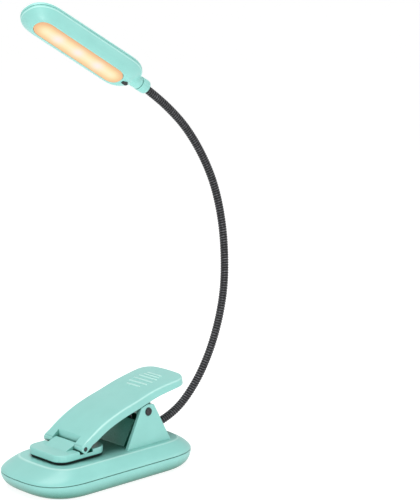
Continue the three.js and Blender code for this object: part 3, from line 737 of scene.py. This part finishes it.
def lever_ring(s):
    """The lever's cross-section at a distance along its arch."""
    (x, z), = lever_path.at([s])
    (tx, tz), = lever_path.tangent([min(max(s, 0.06), lever_path.length - 0.06)])
    t = s / lever_path.length
    wall = SKIRT_FRONT + (SKIRT - SKIRT_FRONT) * smoothstep(t, 0.0, 0.13)
    wall -= (SKIRT - SKIRT_END) * smoothstep(t, 0.6, 1)
    into = max(0.0, LEVER_CORNER - (LEVER_END - x))
    plan = math.sqrt(max(0.0, LEVER_CORNER ** 2 - into ** 2)) - LEVER_CORNER
    w = LEVER_HALF + LEVER_FLARE * smoothstep(x, 28, 44) + plan
    inner = w - LEVER_THICK
    outline = filleted(
        [(w, -wall), (w, 0), (-w, 0), (-w, -wall), (-inner, -wall), (-inner, -LEVER_THICK),
         (inner, -LEVER_THICK), (inner, -wall)],
        [0.45, 1.2, 1.2, 0.45, 0.45, 0.9, 0.9, 0.45], 6,
    )
    across = np.linspace(-1, 1, 9)
    rows = []
    for i, (y, h) in enumerate(outline):
        rows.append((y, h))
        following = outline[(i + 1) % len(outline)]
        if abs(following[0] - y) > 5:
            rows += [(y + (following[0] - y) * (k + 1) / 2, h) for k in across[1:-1]]
    points = np.array(rows)
    crown = np.where(points[:, 1] > -LEVER_THICK - 0.2, LEVER_CROWN * (1 - (points[:, 0] / w) ** 2), 0)
    h = points[:, 1] + crown
    return np.column_stack([x - tz * h, points[:, 0], z + tx * h])


def lever_shell():
    s = np.concatenate([
        np.linspace(0.015 * lever_path.length, lever_path.length - LEVER_CORNER - 0.4, 70),
        lever_path.length - LEVER_CORNER * (1 - np.sin(np.linspace(0.02, math.pi / 2, 22))),
    ])
    rings = [lever_ring(v) for v in s]
    obj = loft("lever_body", rings, sharp=40)
    # Painted highlights along the lever's two top edges.
    painted_highlight = np.zeros(len(rings[0]))
    painted_highlight[7:14] = painted_highlight[21:28] = (0, 0.1, 0.5, 0.85, 0.5, 0.1, 0)
    mark_painted_highlights(obj, np.tile(painted_highlight, len(rings)))
    return obj


def lever_ear(side):
    outline = arc(JAW_X, JAW_Z, 2.4, 130, 325, 26) + [(-13.5, 26.6), (-16.2, 29.0), (-20.0, 26.5)]
    y0, y1 = sorted((side * (TONGUE + 0.3), side * (LEVER_HALF - 0.02)))
    return soften(prism("lever_ear", outline, y0, y1), 0.3)


def lever_hub(side):
    outline = [(PIN_X - 4.6, 41.2)] + arc(PIN_X, PIN_Z, 4.7, 170, 370, 30) + [(PIN_X + 4.6, 42.6)]
    y0, y1 = sorted((side * 11.4, side * 13.4))
    return soften(prism("lever_hub", outline, y0, y1), 0.25)


def thumb_end_wall():
    """The skirt across the thumb end, between its rounded corners."""
    s = np.array([lever_path.length - 2.1, lever_path.length - 0.03])
    top, along = lever_path.at(s), lever_path.tangent([lever_path.length - 1])[0]
    down = np.array([along[1], -along[0]])
    half = LEVER_HALF + LEVER_FLARE - LEVER_CORNER
    outline = [top[0] + down * 0.6, top[1] + down * 0.6, top[1] + down * 4.35, top[0] + down * 4.35]
    return soften(prism("thumb_end_wall", outline, -half, half), 0.3)


def lever_body():
    """The arched shell with its ears and hubs, its mouth and its bores."""
    wall = prism("wall", [(-19.8, 22.8), (-18.2, 23.6), (-17.0, 28.0), (-19.8, 25.8)], -10, 10)
    parts = [lever_ear(1), lever_ear(-1), lever_hub(1), lever_hub(-1), wall, thumb_end_wall()]
    obj = combine(lever_shell(), parts, "UNION")
    mouth = prism("mouth", [(-32, 12), (-19.5, 12), (-19.5, 40), (-32, 40)], -TONGUE - 0.3, TONGUE + 0.3)
    bores = [
        turned("bore", [(0, -30), (r, -30), (r, 30), (0, 30)], (x, 0, z), (0, 1, 0))
        for x, z, r in ((PIN_X, PIN_Z, PIN_RADIUS + 0.12), (JAW_X, JAW_Z, JAW_PIN_RADIUS + 0.12))
    ]
    return combine(obj, [mouth, *bores])


THUMB_RIDGES = ((26.6, 11.0), (30.0, 15.0), (33.7, 16.0), (37.3, 15.5), (40.0, 13.0), (42.5, 12.0))


def thumb_ridge(index, x, length):
    """A low rounded rib across the lever's top."""
    s = np.interp(x, lever_path.curve[:, 0], lever_path.distance)
    (px, pz), = lever_path.at([s])
    (tx, tz), = lever_path.tangent([s])
    half = length / 2
    rings = []
    for u in np.linspace(-1, 1, 25):
        y = u * half
        swell = math.sqrt(max(0.0, 1 - max(0.0, (abs(u) * half - half + 0.6) / 0.6) ** 2))
        swell = max(swell, 0.05)
        crown = LEVER_CROWN * (1 - (y / LEVER_HALF) ** 2)
        circle = [(0.5 * swell * math.cos(a), 0.46 * swell * math.sin(a) + crown)
                  for a in np.linspace(0, 2 * math.pi, 16, endpoint=False)]
        rings.append(np.array([(px + tx * a - tz * h, y, pz + tz * a + tx * h) for a, h in circle]))
    return loft(f"thumb_ridge_{index}", rings)


place(lever_body(), "lever", "mint_plastic", MINT, "lever")
for number, (ridge_x, ridge_length) in enumerate(THUMB_RIDGES, 1):
    place(thumb_ridge(number, ridge_x, ridge_length), "lever", "mint_plastic", MINT_PAINTED_HIGHLIGHT, "lever")
jaw_pin_profile = round_edges([
    (0, -16.4), (0.45, -16.4), (0.55, -16.5), (JAW_PIN_RADIUS, -16.5), (JAW_PIN_RADIUS, 16.5), (0.55, 16.5),
    (0.45, 16.4), (0, 16.4),
], 0.15)
place(turned("jaw_pin_body", jaw_pin_profile, (JAW_X, 0, JAW_Z), (0, 1, 0), sides=40),
      "lever", "black_metal", BLACK_PIN, "jaw_pin")


# ------------------------------------------------------------------ return spring
def return_spring():
    """Coil round the pin with a long leg down into the tower and a short one towards the lever."""
    wire, radius, turns, pitch = 0.55, 3.4, 5, 1.5
    lower_leg, upper_leg, leg = 13.5, 4.5, 0.12
    t = np.linspace(0, 1, 420)
    coil = np.clip((t - leg) / (1 - 2 * leg), 0, 1)
    a = math.radians(200) - coil * (turns * 2 * math.pi + math.radians(130))
    y = (coil - 0.5) * turns * pitch
    p = np.column_stack([PIN_X + radius * np.cos(a), y, PIN_Z + radius * np.sin(a)])
    along = np.column_stack([np.sin(a), np.zeros_like(a), -np.cos(a)])
    p -= along * (lower_leg * np.clip(1 - t / leg, 0, 1))[:, None]
    p += along * (upper_leg * np.clip((t - 1 + leg) / leg, 0, 1))[:, None]
    d = np.gradient(p, axis=0)
    d /= np.linalg.norm(d, axis=1, keepdims=True)
    side = np.cross(d, [0, 1, 0])
    side /= np.linalg.norm(side, axis=1, keepdims=True)
    other = np.cross(d, side)
    u = np.linspace(0, 2 * math.pi, 12, endpoint=False)
    rings = [q + wire * (np.outer(np.cos(u), n) + np.outer(np.sin(u), b))
             for q, n, b in zip(p, side, other)]
    return loft("spring_coil", rings)


spring = return_spring()
dress(spring, SPRING_STEEL)
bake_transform(spring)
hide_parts("return_spring")


# ------------------------------------------------------------------ jaw
def jaw_ring(inset, z):
    return level(rounded_rect(-38.6 + inset, -5.2 - inset, 15.2 - inset, 7 - inset, 140), z)


def jaw_plate():
    rings = between(jaw_ring(0.6, 17.5), jaw_ring(0, 17.5), jaw_ring(0, 18.1), 5)
    rings += between(jaw_ring(0, 20.5), jaw_ring(0, 21.4), jaw_ring(0.9, 21.4), 6)
    rings.append(jaw_ring(1.6, 21.4))
    obj = loft("jaw_plate_body", rings, sharp=50)
    notches = []
    for y0, y1 in ((TONGUE, 18), (-18, -TONGUE)):
        notches.append(prism("notch", [(-25, 19.8), (-16, 19.8), (-16, 27), (-25, 27)], y0, y1))
    return combine(obj, notches)


def jaw_tongue():
    outline = [(-31, 21), (-27, 20), (-19.9, 20), (-19.9, 22)] + arc(JAW_X, JAW_Z, 1.8, 20, 110, 16)
    obj = prism("jaw_tongue", outline, -TONGUE, TONGUE)
    return soften(obj, 0.2)


def jaw_pad():
    rings = [jaw_ring(1.5, 16.2), jaw_ring(1.0, 16.35), jaw_ring(0.8, 16.7), jaw_ring(0.8, 17.4)]
    return loft("jaw_pad_rubber", rings, sharp=60)


place(jaw_plate(), "jaw", "mint_plastic", MINT, "jaw_plate")
place(jaw_tongue(), "jaw", "mint_plastic", MINT, "jaw_plate")
place(jaw_pad(), "jaw", "black_rubber", RUBBER, "jaw_pad")


# ------------------------------------------------------------------ gooseneck
neck_top = SEAM - HEAD_AXIS
neck_path = Path(NECK_POINTS + [(neck_top[0], neck_top[2])])
NECK_JOINTS = [JOINTS[f"neck_{kind}_{i}"] for i in (1, 2, 3) for kind in ("bend", "sway")]


def station(joint):
    """Distance along the neck of one of its joints."""
    x, _, z = np.array(joint["pos_m"]) / MM
    return neck_path.distance[np.argmin(np.hypot(neck_path.curve[:, 0] - x, neck_path.curve[:, 1] - z))]


def neck_skin(index, start, stop):
    """A stretch of the wound tube, with its coils as one helix that runs on through every stretch."""
    per_turn = 9
    count = max(8, int(round((stop - start) / NECK_PITCH * per_turn)))
    s = np.linspace(start, stop, count + 1)
    centre = neck_path.at(s)
    tangent = neck_path.tangent(np.clip(s, 0.06, neck_path.length - 0.06))
    u = np.linspace(0, 2 * math.pi, 28, endpoint=False)
    rings, crowns = [], []
    for (x, z), (tx, tz), distance in zip(centre, tangent, s):
        wave = np.abs(np.sin(math.pi * distance / NECK_PITCH + u / 2))
        crown = wave ** 0.75
        r = NECK_RADIUS - 0.42 * (1 - crown)
        across = r * np.sin(u)
        side = r * np.cos(u)
        rings.append(np.column_stack([x - tz * side, across, z + tx * side]))
        crowns.append(crown)
    obj = loft(f"gooseneck_{index}", rings, sharp=180)
    attribute = obj.data.attributes.new("crown", "FLOAT", "POINT")
    attribute.data.foreach_set("value", np.concatenate(crowns).astype(np.float32))
    return obj


stations = [station(joint) for joint in NECK_JOINTS]
cuts = [0.5] + [(a + b) / 2 for a, b in zip(stations, stations[1:])] + [neck_path.length - 0.05]
for i, s0 in enumerate(stations):
    skin = neck_skin(i + 1, cuts[i], cuts[i + 1])
    dress(skin, NECK_BLACK)
    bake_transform(skin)
    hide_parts(*(["neck_segment_0"] if i == 0 else []), f"neck_segment_{i + 1}")

collar_profile = round_edges([
    (2.5, 0.9), (2.62, 0.0), (3.72, 0.0), (3.9, 0.6), (3.9, 5.62), (3.3, 5.65), (2.5, 5.65), (2.5, 0.9),
], 0.3, 4)[1:-1]
collar = turned("neck_collar_ring", collar_profile, SEAM - HEAD_AXIS * 5.8, HEAD_AXIS)
place(collar, "neck_6", "mint_plastic", MINT, "neck_collar")


# ------------------------------------------------------------------ head, drawn lying flat
head_origin = SEAM - HEAD_DROP * LIGHT
HEAD_FRAME = Matrix((
    (HEAD_AXIS[0], ACROSS[0], LIGHT[0], head_origin[0] * MM),
    (HEAD_AXIS[1], ACROSS[1], LIGHT[1], head_origin[1] * MM),
    (HEAD_AXIS[2], ACROSS[2], LIGHT[2], head_origin[2] * MM),
    (0, 0, 0, 1),
))


def tapered(ring):
    out = ring.copy()
    share = 1.12 + (0.86 - 1.12) * ring[:, 0] / 86.3
    out[:, 2] = np.where(ring[:, 2] > 0, ring[:, 2] * share, ring[:, 2])
    return out


def head_ring(t, z, inset):
    return tapered(level(slab(grown(mixed(HEAD_RIM, HEAD_FACE, t), -inset), 180), z))


def spline_rings(stops, steps):
    """Smooth rings through (share, height, inset) stops."""
    distance, curve = catmull_rom(np.array(stops, float) * [10, 1, 1], 2000)
    where = np.linspace(0, distance[-1], steps)
    share, height, inset = (np.interp(where, distance, curve[:, k]) for k in range(3))
    return [head_ring(t / 10, z, i) for t, z, i in zip(share, height, inset)]


def head_stub(z0, z1, name):
    tube = turned(name, round_edges([(0, 0.15), (3.75, 0.15), (3.75, 8), (0, 8)], 0.25),
                  (0, 0, HEAD_DROP), (1, 0, 0), sides=72)
    keep = loft("keep", [level(np.array([(-1, -9), (9, -9), (9, 9), (-1, 9)]), z) for z in (z0, z1)])
    return combine(tube, [keep], "INTERSECT")


def head_face_shell():
    d = HEAD_DEPTH
    rings = [head_ring(0, 0.16, 0.3), head_ring(0, 0.17, 0.1), head_ring(0, 0.28, 0.0)]
    # A short upright band, a crease, and the flank that rolls over to the face.
    rings += [head_ring(0.01, 0.6, 0.0), head_ring(0.02, 1.0, 0.0)]
    rings += between(
        head_ring(0.025, 1.15, 0.0), head_ring(0.035, 1.4, 0.0), head_ring(0.075, 1.6, -0.03), 4,
    )
    rings += spline_rings([(0.09, 1.7, -0.04), (0.2, d * 0.34, -0.1), (0.42, d * 0.56, -0.14),
                           (0.68, d * 0.79, -0.1), (0.92, d - 0.35, 0.0)], 20)
    rings += between(head_ring(0.93, d - 0.3, 0.0), head_ring(0.99, d, 0.0), head_ring(1, d, 0.35), 4)[1:]
    inner = [head_ring(0.96, d - 1.4, 1.0), head_ring(0.42, d * 0.58 - 0.9, 1.05), head_ring(0.04, 1, 1.4),
             head_ring(0, 0.16, 1.4)]
    obj = loft("head_face_shell", rings + inner, wrap=True, sharp=50)
    # Painted highlight along the crease between the upright band and the flank.
    painted_highlight = np.zeros(len(rings) + len(inner))
    painted_highlight[6:9] = (0.7, 1.0, 0.7)
    mark_painted_highlights(obj, np.repeat(painted_highlight, len(rings[0])))
    return obj


def head_face_plate():
    """The flat face round the lens."""
    d = HEAD_DEPTH
    outer, inner = head_ring(1, d, 0.2), tapered(level(slab(grown(LENS, 0.25), 180), d))
    low = np.array([0, 0, -1.4])
    obj = loft("head_face_rim", [outer + low, outer, inner, inner + low], wrap=True, sharp=50)
    button = rounded_slot(0.25)
    tool = loft("slot", [level(button, d - 3), level(button, d + 3)])
    return combine(obj, [tool])


def rounded_slot(margin):
    return slab(dict(front=10.2 - margin, rear=14.2 + margin, half_width=1.15 + margin, end=1.15 + margin,
                     square=2.0), 48)


def head_back_shell():
    depth = HEAD_CAP
    rings = [head_ring(0, -0.16, 1.4), head_ring(0, -0.17, 0.1), head_ring(0, -0.28, 0.0)]
    rings += spline_rings([(0, -0.35, 0.0), (0, -1.4, 0.12), (0, -depth + 0.5, 0.8)], 9)
    rings += between(
        head_ring(0, -depth + 0.4, 0.9), head_ring(0, -depth, 1.5), head_ring(0, -depth, 2.8), 6,
    )[1:]
    rings += [head_ring(0, -depth, 4.5)]
    inner = [head_ring(0, -depth + 1.1, 2.8), head_ring(0, -depth + 1.4, 1.7)]
    return loft("head_back_shell", inner + rings, sharp=50)


def lens():
    z = HEAD_DEPTH + 0.5

    def ring(inset, height):
        return tapered(level(slab(grown(LENS, -inset), 120), height))

    rings = [ring(0, z - 1.9), ring(0, z - 0.35)]
    rings += between(ring(0, z - 0.35), ring(0, z), ring(0.6, z), 5)[1:]
    rings += [ring(inset, z) for inset in (1.5, 2.5, 3.5, 4.5)]
    obj = loft("lens_cover", rings)
    points = np.vstack(rings)
    for name, column in (("along", 0), ("across", 1)):
        attribute = obj.data.attributes.new(name, "FLOAT", "POINT")
        attribute.data.foreach_set("value", points[:, column].astype(np.float32))
    return obj


def button():
    """Power button with a shallow thumb dish between its two ends."""
    z = HEAD_DEPTH + 0.9
    base = rounded_slot(0.0)
    middle = base.mean(axis=0)
    rings = [level(base, 5.6), level(base, z - 0.3)]
    for share, height in ((0.96, z - 0.12), (0.88, z - 0.03), (0.7, z), (0.4, z - 0.05), (0.15, z - 0.1)):
        rings.append(level(middle + (base - middle) * share, height))
    return loft("power_button_cap", rings)


def on_head(obj, slot, material, *nodes, body="head"):
    obj.data.transform(HEAD_FRAME)
    return place(obj, body, slot, material, *nodes)


on_head(head_face_shell(), "mint_plastic", MINT, "head_bottom_shell")
on_head(head_face_plate(), "mint_plastic", MINT, "head_bottom_shell")
on_head(head_stub(0.05, 9, "head_stub_light_side"), "mint_plastic", MINT, "head_bottom_shell")
on_head(head_stub(-9, -0.05, "head_stub_back_side"), "mint_plastic", MINT, "head_top_shell")
on_head(head_back_shell(), "mint_plastic", MINT, "head_top_shell")
on_head(lens(), "diffuser", DIFFUSER, "lens")
on_head(button(), "black_plastic", BLACK_BUTTON, "power_button", body="button")


# ------------------------------------------------------------------ inner pieces that stay as they are
KEPT = {
    "ballast_plate": STEEL, "battery_cell": CELL, "control_board": BOARD, "neck_ferrule": STEEL,
    "led_board": BOARD, "led_1": LED, "led_2": LED, "led_3": LED, "button_switch": SWITCH,
    "head_screw_1": STEEL, "head_screw_2": STEEL,
}
for node, material in KEPT.items():
    for material_slot in frame["nodes"][node].material_slots:
        material_slot.material = material


# ------------------------------------------------------------------ studio
def floor():
    """Pale floor that glows a little, so that it runs into the white backdrop."""
    size, z = 6000.0, -0.05
    obj = make("floor", [(-size, -size, z), (size, -size, z), (size, size, z), (-size, size, z)],
               [(0, 1, 2, 3)])
    m = Nodes("floor_white")
    m.set(
        Base_Color=m.ramp(m.noise(0.8, 1.0), [(0.3, linear("9a9a9a")), (0.7, linear("9e9e9e"))]),
        Roughness=0.9,
        Specular_IOR_Level=0.1,
        Emission_Color=(1, 1, 1, 1),
        Emission_Strength=0.9,
    )
    dress(obj, m.material)


floor()


def area_light(name, where, aim, size, power, colour=(1, 1, 1)):
    data = bpy.data.lights.new(name, "AREA")
    data.shape = "RECTANGLE"
    data.size, data.size_y = size
    data.energy = power
    data.color = colour
    obj = bpy.data.objects.new(name, data)
    obj.location = where
    obj.rotation_euler = (Vector(aim) - Vector(where)).to_track_quat("-Z", "Y").to_euler()
    bpy.context.scene.collection.objects.link(obj)


TARGET = (0.03, 0.0, 0.1)
area_light("overhead", (-0.12, 0.05, 0.95), TARGET, (0.75, 0.75), 7.2)
area_light("front_fill", (-0.85, -1.1, 0.5), TARGET, (1.3, 0.8), 4.3)
area_light("right_fill", (1.0, -0.9, 0.5), TARGET, (0.5, 0.5), 1.6)
area_light("head_fill", (-0.45, -0.75, 0.06), (0.0, -0.02, 0.24), (0.4, 0.1), 1.8)

# White behind the lamp, and a softer white as its light.
world = bpy.data.worlds.new("studio")
bpy.context.scene.world = world
world.use_nodes = True
nodes, links = world.node_tree.nodes, world.node_tree.links
background = nodes["Background"]
background.inputs["Color"].default_value = (1, 1, 1, 1)
path = nodes.new("ShaderNodeLightPath")
strength = nodes.new("ShaderNodeMapRange")
strength.inputs["To Min"].default_value = 1.0
strength.inputs["To Max"].default_value = 0.2
links.new(path.outputs["Is Diffuse Ray"], strength.inputs["Value"])
links.new(strength.outputs["Result"], background.inputs["Strength"])

camera_data = bpy.data.cameras.new("camera")
camera_data.sensor_width = 36.0
camera_data.lens = 130.9
camera = bpy.data.objects.new("camera", camera_data)
bpy.context.scene.collection.objects.link(camera)
camera.location = (-0.6154, -0.7332, 0.3204)
camera.rotation_mode = "QUATERNION"
camera.rotation_quaternion = Vector((0.677, 0.7083, -0.1998)).to_track_quat("-Z", "Y")
bpy.context.scene.camera = camera

scene = bpy.context.scene
scene.view_settings.view_transform = "Standard"

bpy.context.view_layer.update()
